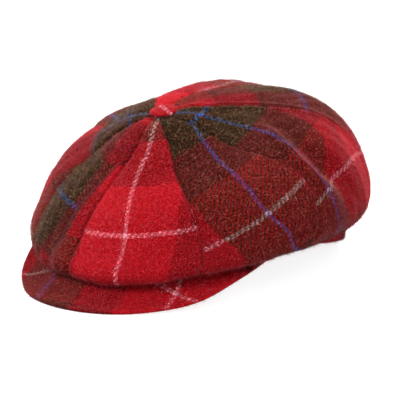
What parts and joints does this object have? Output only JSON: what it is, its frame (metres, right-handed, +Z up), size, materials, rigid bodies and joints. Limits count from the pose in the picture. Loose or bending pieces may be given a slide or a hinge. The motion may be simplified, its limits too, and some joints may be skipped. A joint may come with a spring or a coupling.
{
  "type": "flat cap",
  "caption": "Full, soft flat cap in checked wool tweed: wedge panels meet at a covered button, over a plain headband and a short stiff peak.",
  "frame": {"origin": "bottom centre of the box round the cap, on the surface it lies on", "axes": "-Y the way the peak points, +X the wearer's left, +Z up"},
  "size_m": [0.2206, 0.2728, 0.12],
  "materials": {
    "panel_cloth": "fuzzy wool twill, matt",
    "band_cloth": "fuzzy wool twill, matt",
    "peak_cloth": "fuzzy wool twill, matt",
    "button_cloth": "fuzzy wool twill, matt"
  },
  "bodies": {
    "root": {"crown_panel_1": "panel_cloth", "crown_panel_2": "panel_cloth", "crown_panel_3": "panel_cloth", "crown_panel_4": "panel_cloth", "crown_panel_5": "panel_cloth", "crown_panel_6": "panel_cloth", "crown_panel_7": "panel_cloth", "crown_panel_8": "panel_cloth", "headband": "band_cloth", "peak": "peak_cloth", "button": "button_cloth"}
  },
  "joints": []
}
